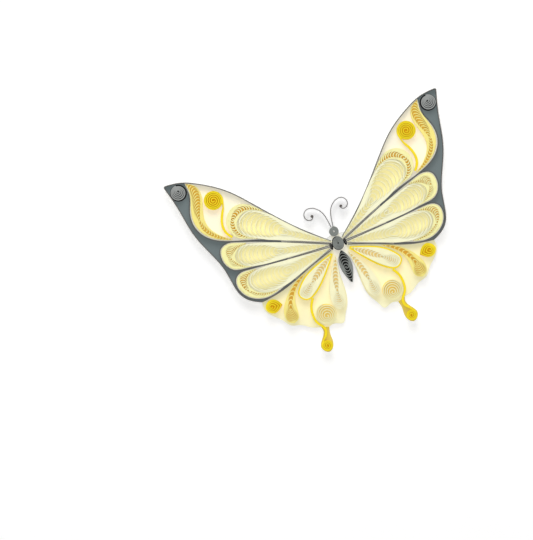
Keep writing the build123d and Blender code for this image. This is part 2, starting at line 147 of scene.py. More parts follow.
TAIL_STRIP = [(11.5, -14.2), (12.9, -16.6), (13.35, -19.4), (12.6, -22.6), (11.2, -24.6), (11.3, -26.4),
              (12.6, -28.0)]
TAIL_COIL_OFFSET = (-0.3, -2.35)
TAIL_COIL_DIAMETER = 3.7
TAIL_COIL_START = 55
ANTENNA_STEM = [(0.0, 0.0), (0.5, 3.4), (1.65, 6.25), (3.4, 7.8)]
ANTENNA_CURL_CENTRE = (5.0, 6.0)
ANTENNA_CURL_DIAMETER = 4.5
ANTENNA_CURL_START = 115

# How tightly each coil is rolled, and where along it its innermost turn lies
TEARDROP_TURNS = 12
TEARDROP_FOCUS = {"costal": 0.47, "middle": 0.5, "lower": 0.5}
HALFWAY = 0.5
CRESCENT_TURNS = 13
LONG_LEAF_TURNS = 14
OUTER_LEAF_TURNS = 9
OUTER_LEAF_FOCUS = 0.7
HIND_TURNS = 10
HIND_PITCHES = (0.2, 0.2)
HIND_BUNCHES = (0.8, 0.8)
HIND_BEND = 0.4
HIND_UPPER_FOCUS = 0.62
HIND_INNER_FOCUS = 0.64
CORNER_EYE_SHARE = 0.3
CORNER_TURNS = 4
ROUND_TURNS = 5
TIP_TURNS = 4.6
SCROLL_TURNS = 5
TAIL_TURNS = 3.4
BODY_TURNS = 6
BODY_COVER = 0.93
ABDOMEN_TURNS = 6
ABDOMEN_PITCHES = (0.22, 0.22)
ABDOMEN_FULLNESS = 0.8
ABDOMEN_BUNCHES = (0.62, 0.62)
ABDOMEN_BEND = 0.26
ANTENNA_TURNS = 0.64
ANTENNA_TIGHTENING = 0.5
ANTENNA_EYE = 0.42
ANTENNA_EYE_TURNS = 2.2
ANTENNA_EYE_CLOSING = 2.6
CORE_RADIUS = 0.25
EYE_RADIUS = 0.1
# The least that is left of a turn's reach or width, and the least half-width of a bend
LEAST_SHARE = 0.05
LEAST_SPAN = 0.2
# Turns lie against each other outside and come loose inside. A loosening of 1 spaces them evenly
PITCH = 0.11
WAVER = 0.008
WAVER_PACES = (0.31, 0.83, 1.37, 2.9)
BUNCHES = (0.6, 0.6)
BEND = 0.3
CRESCENT_PITCHES = (0.2, 0.1)
CRESCENT_BUNCHES = (0.85, 0.42)
CRESCENT_BEND = 0.42
LEAF_BUNCHES = (0.66, 0.66)
LEAF_BEND = 0.4
OPEN_THICKNESS = 0.3
RING_THICKNESS = 0.36
LOOSENING = 6
ROUND_LOOSENING = 1.3
SCROLL_LOOSENING = 1.5
EVEN = 1
# Turns, and bends, that lie closer than this are drawn without slits, a little wider than their spacing
TOGETHER = 0.34
CROWDED = 0.5
OVERLAP = 1.05
# In a coil with a round lobe, this much of the first turn follows the lobe, and turns nearer to each other
# than this cover this share of the space between them
FIRST_TURN = 0.75
NEAR = 0.6
NEAR_COVER = 0.9
OUTLINE_THICKNESS = 0.28
VEIN_THICKNESS = 0.16
BAND_THICKNESS = 0.75
BAND_BLEND = 6
HIND_WRAP_THICKNESS = 0.5
ANTENNA_THICKNESS = 0.2
# The cut edge on top of a strip: how far it lies under the full height, how it wavers, and its bevel
EDGE_DROP = 0.03
EDGE_WAVER = 0.012
EDGE_WAVE = 18
BEVEL = 0.15

# Paper, with the size of its patches of mottle and the number of its fibres to a metre
SHINE = 0.12
PAPER_ROUGHNESS = 0.88
FOAM_ROUGHNESS = 0.95
MOTTLE = 0.97
FLOOR_MOTTLE = 0.995
MOTTLE_DETAIL = 7.0
MOTTLE_ROUGHNESS = 0.65
MOTTLE_RANGE = (0.3, 0.7)
PAPER_PATCH = 3.0
PRINT_PATCH = 4.0
WIDE_PATCH = 5.0
CARD_PATCH = 6.0
FOAM_PATCH = 0.4
FLOOR_PATCH = 40.0
FIBRES = 9000.0
FIBRE_DETAIL = 3.0
FIBRE_STRENGTH = 0.3
FIBRE_DEPTH = 0.02
SHARP_ANGLE = 35

# Fields of colour on the card, printed colour and painted shade: their thickness, the levels that they lie
# at, and their edges
PRINT = 0.015
HIND_LEVEL = 0.5
MARGIN_LEVEL = 1
COIL_LEVEL = 2
ROOT_LEVEL = 2.5
THORAX_LEVEL = 3
TRIM = 0.02
UNDER_VEIN = 0.25
MARGIN_START = 17.0
TIP_SHADE = 0.6
THORAX_SHADE = 0.3
ABDOMEN_SHADE_SHARE = 0.97
ROOT_DROP = -0.3j
ROOT_SHADE = (1.2, 2.6)

# Where the wing's strips start and how far its wraps stand out. The clearance is in thorax widths
WRAP_SPREAD = 0.3
WRAP_FOOT = 0.2
VEIN_FOOT = (-0.15, 0.75)
THORAX_CLEARANCE = 0.56

# Foam pads
PAD_POINTS = 64
PAD_LEVELS = 9
PAD_SQUARENESS = 14
PAD_BULGE = 0.05
PAD_GRAIN = 0.004

# Sampling of the paths
FINE = 800
LOOP_POINTS = 120
RING_POINTS = 56
SIDE_POINTS = 34
SIDE_SAMPLES = 240
LEADING_POINTS = 130
TIP_POINTS = 8
OUTER_POINTS = 110
BOUNDARY_POINTS = 60
VEIN_POINTS = 160
SCROLL_TAIL_POINTS = 60
TAIL_STRIP_POINTS = 90
ANTENNA_STEM_POINTS = 50
ANTENNA_CURL_POINTS = 90
ANTENNA_EYE_POINTS = 80
CARD_POINTS = 60
CARD_TIP_POINTS = 10
CARD_OUTER_POINTS = 70
MARGIN_POINTS = 90
MARGIN_LEADING_POINTS = 200
MARGIN_CELL_POINTS = 120
PRINT_BOUNDARY_POINTS = 40
NEVER_ZERO = 1e-9
SHORTEST_STEP = 1e-4

rng = np.random.default_rng(SEED)


def wing(places):
    """Points of the right wing as complex numbers."""
    return np.array([complex(x + WING_ROOT, y) for x, y in places])


def even(points, count):
    """A path in equal steps of its length."""
    run = np.concatenate(([0.0], np.cumsum(np.abs(np.diff(points)))))
    places = np.linspace(0, run[-1], count)
    return np.interp(places, run, points.real) + 1j * np.interp(places, run, points.imag)


def smooth(knots, count):
    """One smooth curve through the knots, in equal steps."""
    spans = np.abs(np.diff(knots))
    reach = np.concatenate(([0.0], np.cumsum(spans)))
    size = len(knots)
    system = np.eye(size)
    pull = np.zeros(size, complex)
    slopes = np.diff(knots) / spans
    for row in range(1, size - 1):
        system[row, row - 1] = spans[row - 1]
        system[row, row] = 2 * (spans[row - 1] + spans[row])
        system[row, row + 1] = spans[row]
        pull[row] = 6 * (slopes[row] - slopes[row - 1])
    bends = np.linalg.solve(system, pull)
    fine = np.linspace(0, reach[-1], FINE)
    part = np.clip(np.searchsorted(reach, fine, side="right") - 1, 0, size - 2)
    after = (fine - reach[part]) / spans[part]
    before = 1 - after
    cubic = (before**3 - before) * bends[part] + (after**3 - after) * bends[part + 1]
    points = before * knots[part] + after * knots[part + 1] + cubic * spans[part] ** 2 / 6
    return even(points, count)


def headings(path):
    """The direction of a path at each of its points."""
    steps = np.gradient(path)
    return steps / np.maximum(np.abs(steps), NEVER_ZERO)


def inside(path, distance):
    """A clockwise path moved inwards."""
    return path - 1j * headings(path) * distance


def length(path):
    """The length of a path."""
    return np.abs(np.diff(path)).sum()


def at(path, share):
    """Points at shares of the way through a path."""
    spots = np.linspace(0, 1, len(path))
    return np.interp(share, spots, path.real) + 1j * np.interp(share, spots, path.imag)


def inset(curve, distance, first_width):
    """A pinched cell's outline moved inwards, from its tip round the lobe and back."""
    out = at(curve, TIP_SHARE) - curve[0]
    back = at(curve, 1 - TIP_SHARE) - curve[0]
    half_angle = abs(np.angle(out / back)) / 2
    middle = out / abs(out) + back / abs(back)
    tip = curve[0] + middle / abs(middle) * distance / sin(half_angle)
    reach = (distance + first_width / 2) / tan(half_angle) / length(curve)
    moved = at(inside(curve, distance), np.linspace(reach, 1 - reach, FINE))
    return even(np.concatenate(([tip], moved, [tip])), LOOP_POINTS + 1)[:-1]


def waver(progress, size):
    """A slow random waver along a strip."""
    total = np.zeros(len(progress))
    for pace in WAVER_PACES:
        total += np.sin(2 * pi * (pace * progress + rng.random())) / (1 + pace)
    return total * size


def spread(progress, turns, pitch, spare, loosening):
    """How far in a strip has come after each turn, and how far its turns lie apart."""
    gone = pitch * progress + spare * (progress / turns) ** loosening
    apart = pitch + spare * loosening / turns * (progress / turns) ** (loosening - 1)
    return gone * (1 + waver(progress, WAVER)), apart


def drawn(apart, open_thickness):
    """The thickness to draw for turns this far apart: no slit between turns that lie together."""
    return np.where(apart < TOGETHER, np.maximum(OVERLAP * apart, STRIP_THICKNESS), open_thickness)


def wind(loop, centre, turns, loosening):
    """A closed loop rolled up towards a centre: its path, and the strip's thickness along it."""
    count = len(loop)
    steps = np.arange(int(turns * count) + 1)
    arm = loop[steps % count] - centre
    reach = np.abs(arm)
    spare = np.maximum(reach - CORE_RADIUS - PITCH * turns, 0)
    gone, apart = spread(steps / count, turns, PITCH, spare, loosening)
    return centre + arm * np.maximum(1 - gone / reach, LEAST_SHARE), drawn(apart, RING_THICKNESS)


def leaf(near, far, turns, focus, pitches=(PITCH, PITCH), most=BUNCHES, bend=BEND, lobed=False):
    """A strip wound flat between two sides: bunched along them, with its bends stepped along the middle.

    The pitches and the most that a bunch takes of half the width are for the near and the far side.
    The bends are drawn this thick where they stand apart, and without a slit where they crowd.
    A lobed coil's first turn follows the round end of its sides.
    """
    run = length((near + far) / 2)
    around = 2 * SIDE_POINTS
    progress = np.arange(around * turns + 1) / around
    phase = 2 * pi * progress
    low = focus * progress / turns * (1 + waver(progress, WAVER))
    high = 1 - (1 - focus) * progress / turns * (1 + waver(progress, WAVER))
    share = (low + high) / 2 - (high - low) / 2 * np.cos(phase)
    half = (at(near, share) - at(far, share)) / 2
    middle = (at(near, share) + at(far, share)) / 2
    width = np.maximum(np.abs(half), NEVER_ZERO)
    widest = np.abs(at(near, focus) - at(far, focus)) / 2
    rooms, slits = [], []
    for pitch, part in zip(pitches, most):
        gone, apart = spread(progress, turns, pitch, max(widest - pitch * turns, 0), LOOSENING)
        rooms.append(width - gone * np.minimum(1, part * width / (pitch * turns)))
        slits.append(apart)
    span = np.maximum((rooms[0] + rooms[1]) / 2, LEAST_SHARE * width)
    shift = (rooms[0] - rooms[1]) / 2
    clear = np.clip(np.minimum(share - low, high - share) * run / np.maximum(LEAST_SPAN, span), 0, 1)
    lean = np.sqrt(1 - (1 - clear) ** 2)
    if lobed:
        lean = 1 - (1 - lean) * np.clip((progress - FIRST_TURN) / (1 - FIRST_TURN), 0, 1)
    way = np.where(np.sin(phase) >= 0, 1, -1)
    path = middle + half / width * (shift + span * lean * way)
    side = drawn(np.where(way > 0, slits[0], slits[1]), OPEN_THICKNESS)
    stepping = np.where(np.cos(phase) < 0, 1 - focus, focus) * run / turns
    bent = np.where(stepping < CROWDED, OVERLAP * stepping, bend)
    thickness = side + (bent - side) * (1 - lean) * np.clip(progress, 0, 1)
    if not lobed:
        return path, thickness
    across = np.abs(((path[around:] - path[:-around]) * np.conj(headings(path)[:-around])).imag)
    across = np.concatenate((np.full(around, NEAR), across))
    return path, np.where(across < NEAR, np.maximum(thickness, NEAR_COVER * across), thickness)


def halves(loop):
    """The two sides of a pinched loop, from its tip to the end of its lobe."""
    closed = np.append(loop, loop[0])
    near = at(closed, np.linspace(0, 0.5, SIDE_SAMPLES))
    far = at(closed, np.linspace(1, 0.5, SIDE_SAMPLES))
    return near, far


def oval(centre, width, height):
    """A clockwise oval from its top."""
    angles = np.linspace(0, 2 * pi, RING_POINTS, endpoint=False)
    across = np.sin(angles) * (width / 2 - HALF_STRIP)
    up = np.cos(angles) * (height / 2 - HALF_STRIP)
    return centre + across + 1j * up


def curl(centre, diameter, start, turns):
    """A clockwise coil from its outside at the start angle in to its core, and its strip's thickness."""
    steps = np.arange(int(turns * RING_POINTS) + 1)
    progress = steps / RING_POINTS
    outer = diameter / 2 - HALF_STRIP
    spare = max(outer - CORE_RADIUS - PITCH * turns, 0)
    gone, apart = spread(progress, turns, PITCH, spare, SCROLL_LOOSENING)
    coil = np.maximum(outer - gone, EYE_RADIUS) * np.exp(1j * (radians(start) - 2 * pi * progress))
    return centre + coil, drawn(apart, RING_THICKNESS)


def scroll(tail, coil):
    """A loose end as a band, then its coil: the path, and the strip's thickness along it."""
    path, coil_thickness = coil
    thickness = np.concatenate((np.full(len(tail) - 1, BAND_THICKNESS), coil_thickness))
    window = np.ones(2 * BAND_BLEND + 1) / (2 * BAND_BLEND + 1)
    blended = np.convolve(np.pad(thickness, BAND_BLEND, "edge"), window, "valid")
    return np.concatenate((tail[:-1], path)), blended


def linear(colour):
    """A written colour as the linear value that a shader takes."""
    shares = [part / 255 for part in colour]
    return [part / 12.92 if part <= 0.04045 else ((part + 0.055) / 1.055) ** 2.4 for part in shares] + [1.0]


def paper(name, colour, patch=PAPER_PATCH, roughness=PAPER_ROUGHNESS, mottle_share=MOTTLE):
    """A paper with fibres and a faint mottle, of this colour at its lightest."""
    material = bpy.data.materials.new(name)
    material.use_nodes = True
    tree = material.node_tree
    shader = tree.nodes["Principled BSDF"]
    shader.inputs["Roughness"].default_value = roughness
    shader.inputs["Specular IOR Level"].default_value = SHINE
    place = tree.nodes.new("ShaderNodeTexCoord")
    mottle = tree.nodes.new("ShaderNodeTexNoise")
    mottle.inputs["Scale"].default_value = 1 / (patch * METRE)
    mottle.inputs["Detail"].default_value = MOTTLE_DETAIL
    mottle.inputs["Roughness"].default_value = MOTTLE_ROUGHNESS
    ramp = tree.nodes.new("ShaderNodeValToRGB")
    ramp.color_ramp.elements[0].position = MOTTLE_RANGE[0]
    ramp.color_ramp.elements[0].color = linear([part * mottle_share for part in colour])
    ramp.color_ramp.elements[1].position = MOTTLE_RANGE[1]
    ramp.color_ramp.elements[1].color = linear(colour)
    fibres = tree.nodes.new("ShaderNodeTexNoise")
    fibres.inputs["Scale"].default_value = FIBRES
    fibres.inputs["Detail"].default_value = FIBRE_DETAIL
    bump = tree.nodes.new("ShaderNodeBump")
    bump.inputs["Strength"].default_value = FIBRE_STRENGTH
    bump.inputs["Distance"].default_value = FIBRE_DEPTH * METRE
    tree.links.new(place.outputs["Object"], mottle.inputs["Vector"])
    tree.links.new(place.outputs["Object"], fibres.inputs["Vector"])
    tree.links.new(mottle.outputs["Fac"], ramp.inputs["Fac"])
    tree.links.new(ramp.outputs["Color"], shader.inputs["Base Color"])
    tree.links.new(fibres.outputs["Fac"], bump.inputs["Height"])
    tree.links.new(bump.outputs["Normal"], shader.inputs["Normal"])
    return material


# Each paper has the colour of its sides and the lighter colour of its cut edges. The sides are a deeper,
# warmer tone than the paper itself: painted shade, standing for the golden shade that light passed through
# and between the strips gives their walls
PAPERS = {
    "grey_paper": (paper("grey_side", (122, 126, 123)), paper("grey_edge", (134, 138, 134))),
    "cream_paper": (paper("cream_side", (255, 245, 178)), paper("cream_edge", (255, 253, 216))),
    "pale_yellow_paper": (paper("pale_yellow_side", (255, 232, 124)),
                          paper("pale_yellow_edge", (255, 250, 180))),
    "bright_yellow_paper": (paper("bright_yellow_side", (254, 220, 24)),
                            paper("bright_yellow_edge", (255, 230, 44))),
}
# Tones that some strips have of their own, with the same painted shade in the deeper colour of their sides
LIGHT_GREY = (paper("light_grey_side", (140, 143, 141)), paper("light_grey_edge", (160, 163, 161)))
DARK_GREY = (paper("dark_grey_side", (84, 78, 74)), paper("dark_grey_edge", (92, 86, 82)))
WARM_CREAM = (paper("warm_cream_side", (255, 238, 138)), paper("warm_cream_edge", (255, 248, 190)))
BUTTER = (paper("butter_side", (255, 226, 96)), paper("butter_edge", (255, 240, 142)))
WHITE_CREAM = (paper("white_cream_side", (255, 226, 112)), paper("white_cream_edge", (255, 251, 208)))
VEIN_GREY = (paper("vein_grey_side", (100, 98, 95)), paper("vein_grey_edge", (112, 110, 107)))
SPECIAL = {
    "tip_coil": LIGHT_GREY,
    "antenna": DARK_GREY,
    "round_coil": WARM_CREAM,
    "long_leaf": BUTTER,
    "hind_outer_leaf": BUTTER,
    "hind_upper_teardrop": WHITE_CREAM,
    "hind_inner_teardrop": WHITE_CREAM,
    "forewing_outline": VEIN_GREY,
    "upper_vein": VEIN_GREY,
    "middle_wrap": VEIN_GREY,
    "lower_wrap": VEIN_GREY,
}
CARD = paper("cream_card", (255, 252, 236), patch=CARD_PATCH)
FOAM = paper("white_foam", (244, 244, 240), patch=FOAM_PATCH, roughness=FOAM_ROUGHNESS)
# Colours on the card. Slate and lemon are printed colour. Olive is painted shade on the tail. Warm, amber,
# saffron, honey, orange and gold are painted shade: the tone that the lit and shaded gaps between the turns
# of a coil take, laid under the coils. Charcoal and ink are painted shadow in deep gaps round the tip coil,
# the body and the wing roots
SLATE = paper("slate_print", (120, 131, 132), patch=WIDE_PATCH)
LEMON = paper("lemon_print", (251, 248, 209), patch=WIDE_PATCH)
OLIVE = paper("olive_painted_shade", (226, 204, 92), patch=PRINT_PATCH)
WARM = paper("warm_painted_gap_shade", (255, 250, 196), patch=PRINT_PATCH)
AMBER = paper("amber_painted_gap_shade", (240, 194, 74), patch=PRINT_PATCH)
SAFFRON = paper("saffron_painted_gap_shade", (246, 206, 80), patch=PRINT_PATCH)
HONEY = paper("honey_painted_gap_shade", (255, 234, 152), patch=PRINT_PATCH)
ORANGE = paper("orange_painted_gap_shade", (254, 224, 108), patch=PRINT_PATCH)
GOLD = paper("gold_painted_gap_shade", (234, 172, 12), patch=PRINT_PATCH)
CHARCOAL = paper("charcoal_painted_shadow", (40, 40, 40), patch=PRINT_PATCH)
INK = paper("ink_painted_shadow", (22, 22, 23), patch=PRINT_PATCH)


def mesh_object(name, corners, faces, materials, kinds):
    """A mesh from corners in millimetres, with a material number for each face."""
    mesh = bpy.data.meshes.new(name)
    mesh.from_pydata((np.array(corners) * METRE).tolist(), [], faces)
    for material in materials:
        mesh.materials.append(material)
    mesh.polygons.foreach_set("material_index", kinds)
    mesh.polygons.foreach_set("use_smooth", [True] * len(faces))
    mesh.update()
    mesh.set_sharp_from_angle(angle=radians(SHARP_ANGLE))
    piece = bpy.data.objects.new(name, mesh)
    bpy.context.scene.collection.objects.link(piece)
    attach(piece, "root")
    return piece


def strip(node, path, thickness, slot, materials=None):
    """A paper strip on edge along a path, in place of a CAD strip."""
    keep = np.concatenate(([True], np.abs(np.diff(path)) > SHORTEST_STEP))
    path = path[keep]
    half = (np.zeros(len(keep)) + thickness)[keep] / 2
    count = len(path)
    run = np.concatenate(([0.0], np.cumsum(np.abs(np.diff(path)))))
    left = 1j * headings(path)
    top = STRIP_TOP - EDGE_DROP - np.abs(waver(run / EDGE_WAVE, EDGE_WAVER))
    foot = np.full(count, CARD_TOP)
    bevel = BEVEL * half
    rows = [(-half, foot), (-half, top - bevel), (bevel - half, top),
            (half - bevel, top), (half, top - bevel), (half, foot)]
    sides = len(rows)
    cut_edge = (1, 2, 3)
    corners = []
    for across, height in rows:
        flat = path + left * across
        corners += list(zip(flat.real, flat.imag, height))
    faces, kinds = [], []
    for side in range(sides):
        other = (side + 1) % sides
        for step in range(count - 1):
            faces.append((side * count + step, side * count + step + 1,
                          other * count + step + 1, other * count + step))
            kinds.append(1 if side in cut_edge else 0)
    faces.append(tuple(side * count for side in range(sides)))
    faces.append(tuple(side * count + count - 1 for side in reversed(range(sides))))
    kinds += [0, 0]
    piece = mesh_object(node + "_strip", corners, faces, materials or PAPERS[slot], kinds)
    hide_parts(node)
    return piece


def prism(name, outline, low, high, material):
    """A flat piece cut to an outline."""
    count = len(outline)
    corners = [(p.real, p.imag, high) for p in outline] + [(p.real, p.imag, low) for p in outline]
    triangles = tessellate_polygon([[Vector((p.real, p.imag, 0)) for p in outline]])
    faces = []
    for a, b, c in triangles:
        turn = ((outline[b] - outline[a]).conjugate() * (outline[c] - outline[a])).imag
        a, b, c = (a, b, c) if turn > 0 else (a, c, b)
        faces.append((a, b, c))
        faces.append((c + count, b + count, a + count))
    area = (outline.conjugate() * np.roll(outline, -1)).imag.sum()
    for step in range(count):
        after = (step + 1) % count
        side = (step, step + count, after + count, after)
        faces.append(side if area > 0 else side[::-1])
    return mesh_object(name, corners, faces, [material], [0] * len(faces))


def field(name, outline, level, material):
    """A field of colour on the card: printed colour, or painted shade. A higher level lies over a lower
    one.
    """
    piece = prism(name, outline, CARD_TOP - PRINT, CARD_TOP + PRINT * level, material)


def mirrored(path):
    """The same path on the left."""
    return -np.conj(path)


def placed(path, side):
    """A path of the right side, put on its own side."""
    return path if side == "right" else mirrored(path)


def forewing():
    """The right forewing's strips as node: (path, thickness, slot), and the painted shade under them."""
    tip = wing([TIP_COIL_CENTRE])[0]
    tip_loop = oval(tip, TIP_COIL_DIAMETER, TIP_COIL_DIAMETER)
    scroll_tail = smooth(wing(SCROLL_TAIL), SCROLL_TAIL_POINTS)
    scroll_centre = scroll_tail[-1] + complex(*SCROLL_OFFSET)
    scroll_coil = curl(scroll_centre, SCROLL_DIAMETER, SCROLL_START, SCROLL_TURNS)
    edges = ((LEADING_EDGE, LEADING_POINTS), (WING_TIP, TIP_POINTS), (OUTER_EDGE, OUTER_POINTS),
             (WING_BOUNDARY, BOUNDARY_POINTS))
    edge_inset = CARD_MARGIN + HALF_STRIP
    outline = [inside(smooth(wing(places), count), edge_inset)[1:-1] for places, count in edges]
    leading = outline[0]
    by_thorax = np.hypot(leading.real / THORAX_WIDTH, leading.imag / THORAX_LENGTH)
    outline[0] = leading[by_thorax > THORAX_CLEARANCE]
    leaf_sides = [smooth(wing(places), SIDE_SAMPLES) for places in (LONG_LEAF_OUTER, LONG_LEAF_INNER)]
    strips = {
        "forewing_outline": (np.concatenate(outline), OUTLINE_THICKNESS, "grey_paper"),
        "upper_vein": (smooth(wing([VEIN_FOOT] + UPPER_VEIN), VEIN_POINTS), VEIN_THICKNESS, "grey_paper"),
        "tip_coil": (*wind(tip_loop, tip + 1j * TIP_COIL_RISE, TIP_TURNS, EVEN), "grey_paper"),
        "long_leaf": (*leaf(*leaf_sides, LONG_LEAF_TURNS, HALFWAY, most=LEAF_BUNCHES, bend=LEAF_BEND),
                      "pale_yellow_paper"),
        "forewing_scroll": (*scroll(scroll_tail, scroll_coil), "bright_yellow_paper"),
    }
    # Painted shade: fields under the coils in the tone that the lit and shaded gaps between their turns
    # take, and a dark painted shadow round the tip coil
    painted_shades = {
        "tip_painted_shadow": (oval(tip, TIP_COIL_DIAMETER + TIP_SHADE, TIP_COIL_DIAMETER + TIP_SHADE), CHARCOAL),
        "long_leaf_painted_shade": (np.concatenate((leaf_sides[0], leaf_sides[1][-2:0:-1])), SAFFRON),
        "scroll_painted_shade": (oval(scroll_centre, SCROLL_DIAMETER, SCROLL_DIAMETER), GOLD),
    }
    cells = {
        "costal": (COSTAL_UPPER_FLANK, COSTAL_LOBE, COSTAL_TEARDROP_LOBE, COSTAL_LOWER_FLANK,
                   COSTAL_HORNS, HALF_STRIP),
        "middle": (MIDDLE_UPPER_FLANK, MIDDLE_LOBE, MIDDLE_TEARDROP_LOBE, MIDDLE_LOWER_FLANK,
                   MIDDLE_HORNS, INSIDE_WRAP),
        "lower": (LOWER_UPPER_FLANK, LOWER_LOBE, LOWER_TEARDROP_LOBE, LOWER_LOWER_FLANK,
                  LOWER_HORNS, INSIDE_WRAP),
    }
    for name, (upper, lobe, inner_lobe, lower, horns, edge) in cells.items():
        cell = smooth(wing(upper + lobe + lower), FINE)
        room = smooth(wing(upper + inner_lobe + lower), FINE)
        loop = inset(room, edge - WRAP_SPREAD, TIP_WIDTH)
        teardrop = leaf(*halves(loop), TEARDROP_TURNS, TEARDROP_FOCUS[name], lobed=True)
        strips[name + "_teardrop"] = (*teardrop, "cream_paper")
        # Painted shade under the teardrop, and further down under the crescent
        painted_shades[name + "_teardrop_print"] = (loop, WARM)
        sides = []
        for curve, distance in ((cell, edge), (room, edge - CAD_STRIP_THICKNESS - CRESCENT_GAP)):
            shares = np.linspace(horns[0] / length(curve), 1 - horns[1] / length(curve), SIDE_SAMPLES)
            sides.append(at(inside(curve, distance), shares))
        crescent = leaf(*sides, CRESCENT_TURNS, HALFWAY, CRESCENT_PITCHES, CRESCENT_BUNCHES, CRESCENT_BEND)
        strips[name + "_crescent"] = (*crescent, "pale_yellow_paper")
        painted_shades[name + "_crescent_print"] = (np.concatenate((sides[0], sides[1][::-1])), AMBER)
        if name != "costal":
            wrap = inset(cell, HALF_STRIP - WRAP_SPREAD, WRAP_FOOT + 2 * WRAP_SPREAD)[1:]
            strips[name + "_wrap"] = (wrap, VEIN_THICKNESS, "grey_paper")
    return strips, painted_shades


def hindwing():
    """The right hindwing's strips, and the painted shade under them."""
    middle = wing(TAIL_EDGE)[-1] + complex(*ROUND_COIL_OFFSET)
    round_loop = oval(middle, ROUND_COIL_DIAMETER, ROUND_COIL_DIAMETER)
    tail = smooth(wing(TAIL_STRIP), TAIL_STRIP_POINTS)
    tail_centre = tail[-1] + complex(*TAIL_COIL_OFFSET)
    tail_coil = curl(tail_centre, TAIL_COIL_DIAMETER, TAIL_COIL_START, TAIL_TURNS)
    cell = smooth(wing(HIND_CELL), FINE)
    upper = inset(cell, INSIDE_WRAP, TIP_WIDTH)
    inner = inset(smooth(wing(HIND_INNER_CELL), FINE), HALF_STRIP, TIP_WIDTH)
    corner = smooth(wing(CORNER_CELL), FINE)
    corner_eye = (at(corner, CORNER_EYE_SHARE) + at(corner, 1 - CORNER_EYE_SHARE)) / 2
    corner_loop = inset(corner, HALF_STRIP, TIP_WIDTH)
    leaf_sides = [smooth(wing(places), SIDE_SAMPLES) for places in (OUTER_LEAF_OUTER, OUTER_LEAF_INNER)]
    wrap = inset(cell, HALF_STRIP, WRAP_END_GAP)[1:]
    form = (HIND_PITCHES, HIND_BUNCHES, HIND_BEND)
    strips = {
        "hind_wrap": (wrap, HIND_WRAP_THICKNESS, "bright_yellow_paper"),
        "hind_upper_teardrop": (*leaf(*halves(upper), HIND_TURNS, HIND_UPPER_FOCUS, *form, lobed=True),
                                "cream_paper"),
        "hind_inner_teardrop": (*leaf(*halves(inner), HIND_TURNS, HIND_INNER_FOCUS, *form, lobed=True),
                                "cream_paper"),
        "hind_outer_leaf": (*leaf(*leaf_sides, OUTER_LEAF_TURNS, OUTER_LEAF_FOCUS, bend=LEAF_BEND),
                            "pale_yellow_paper"),
        "corner_coil": (*wind(corner_loop, corner_eye, CORNER_TURNS, SCROLL_LOOSENING),
                        "bright_yellow_paper"),
        "round_coil": (*wind(round_loop, middle - 1j * ROUND_COIL_DROP, ROUND_TURNS, ROUND_LOOSENING),
                       "cream_paper"),
        "tail_scroll": (*scroll(tail, tail_coil), "bright_yellow_paper"),
    }
    # Painted shade: fields under the coils in the tone that the lit and shaded gaps between their turns
    # take
    painted_shades = {
        "hind_upper_painted_shade": (upper, HONEY),
        "hind_inner_painted_shade": (inner, HONEY),
        "outer_leaf_painted_shade": (np.concatenate((leaf_sides[0], leaf_sides[1][-2:0:-1])), AMBER),
        "corner_painted_shade": (corner_loop, GOLD),
        "round_painted_shade": (round_loop, ORANGE),
        "tail_coil_painted_shade": (oval(tail_centre, TAIL_COIL_DIAMETER, TAIL_COIL_DIAMETER), GOLD),
    }
    return strips, painted_shades


def antenna():
    """The right antenna strip, from the head round an open curl to a tight eye at its end."""
    base = complex(ANTENNA_SPREAD / 2, HEAD_Y + HEAD_DIAMETER / 2)
    stem = smooth(base + np.array([complex(x, y) for x, y in ANTENNA_STEM]), ANTENNA_STEM_POINTS)
    centre = base + complex(*ANTENNA_CURL_CENTRE)
    steps = np.linspace(0, 1, ANTENNA_CURL_POINTS)
    radius = (ANTENNA_CURL_DIAMETER / 2 - HALF_STRIP) * (1 - ANTENNA_TIGHTENING * steps**4)
    turned = np.exp(1j * (radians(ANTENNA_CURL_START) - 2 * pi * ANTENNA_TURNS * steps))
    end = centre + radius * turned
    turn = np.linspace(0, ANTENNA_EYE_TURNS, ANTENNA_EYE_POINTS)
    round_eye = (1 - turn / ANTENNA_EYE_CLOSING) * np.exp(-2j * pi * turn)
    eye = end[-1] + turned[-1] * ANTENNA_EYE * (round_eye - 1)
    return np.concatenate((stem, end, eye[1:]))


for side in ("right", "left"):
    fore_strips, fore_painted_shades = forewing()
    hind_strips, hind_painted_shades = hindwing()
    for name, (path, thickness, slot) in (fore_strips | hind_strips).items():
        strip(side + "_" + name, placed(path, side), thickness, slot, SPECIAL.get(name))
    for name, (outline, material) in (fore_painted_shades | hind_painted_shades).items():
        field(side + "_" + name, placed(outline, side), COIL_LEVEL, material)
    strip(side + "_antenna", placed(antenna(), side), ANTENNA_THICKNESS, "grey_paper", SPECIAL["antenna"])

head = 1j * HEAD_Y
for name, centre, width, height in (("head_coil", head, HEAD_DIAMETER, HEAD_DIAMETER),
                                    ("thorax_coil", 0, THORAX_WIDTH, THORAX_LENGTH)):
    path = wind(oval(centre, width, height), centre, BODY_TURNS, EVEN)[0]
    strip(name, path, BODY_COVER * (width / 2 - CORE_RADIUS) / BODY_TURNS, "grey_paper")
shares = np.linspace(0, 1, SIDE_SAMPLES)
abdomen_half = (ABDOMEN_WIDTH / 2 - HALF_STRIP) * np.sin(pi * shares**ABDOMEN_FULLNESS)
abdomen_side = abdomen_half + 1j * (ABDOMEN_TOP - ABDOMEN_LENGTH * shares)
abdomen = leaf(abdomen_side, mirrored(abdomen_side), ABDOMEN_TURNS, HALFWAY,
               ABDOMEN_PITCHES, ABDOMEN_BUNCHES, ABDOMEN_BEND)
strip("abdomen_coil", *abdomen, "grey_paper")


